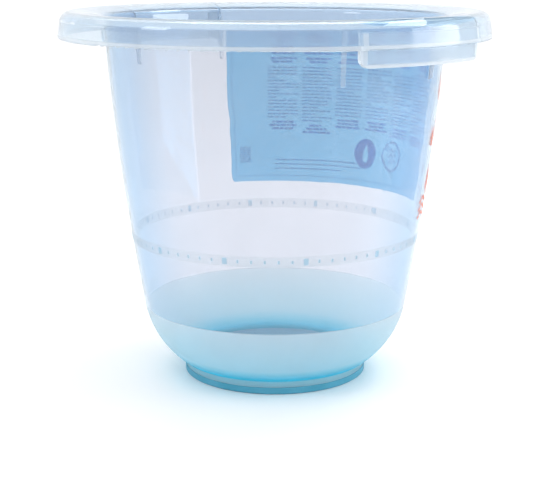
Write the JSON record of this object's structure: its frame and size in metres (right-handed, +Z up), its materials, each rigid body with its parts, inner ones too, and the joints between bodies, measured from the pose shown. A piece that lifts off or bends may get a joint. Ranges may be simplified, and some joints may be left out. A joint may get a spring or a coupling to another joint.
{
  "type": "baby bath bucket",
  "caption": "Deep round translucent baby bathtub with a wide turned-down rim, hand grips, a rounded bowl base and a soft anti-slip foot ring.",
  "frame": {"origin": "on the floor under the tub's axis, at the bottom centre of the bounding box", "axes": "+Z up along the tub's axis; X through the middle of the two hand grips; the care label faces +Y and the print label lies between +X and +Y"},
  "size_m": [0.4399, 0.44, 0.38],
  "materials": {
    "tub_plastic": "translucent, glossy above, frosted in the bowl",
    "ring_rubber": "satin",
    "care_film": "translucent printed film",
    "print_film": "clear film with a coral print"
  },
  "bodies": {
    "root": {"tub_shell": "tub_plastic", "anti_slip_ring": "ring_rubber", "care_label": "care_film", "print_label": "print_film"}
  },
  "joints": []
}
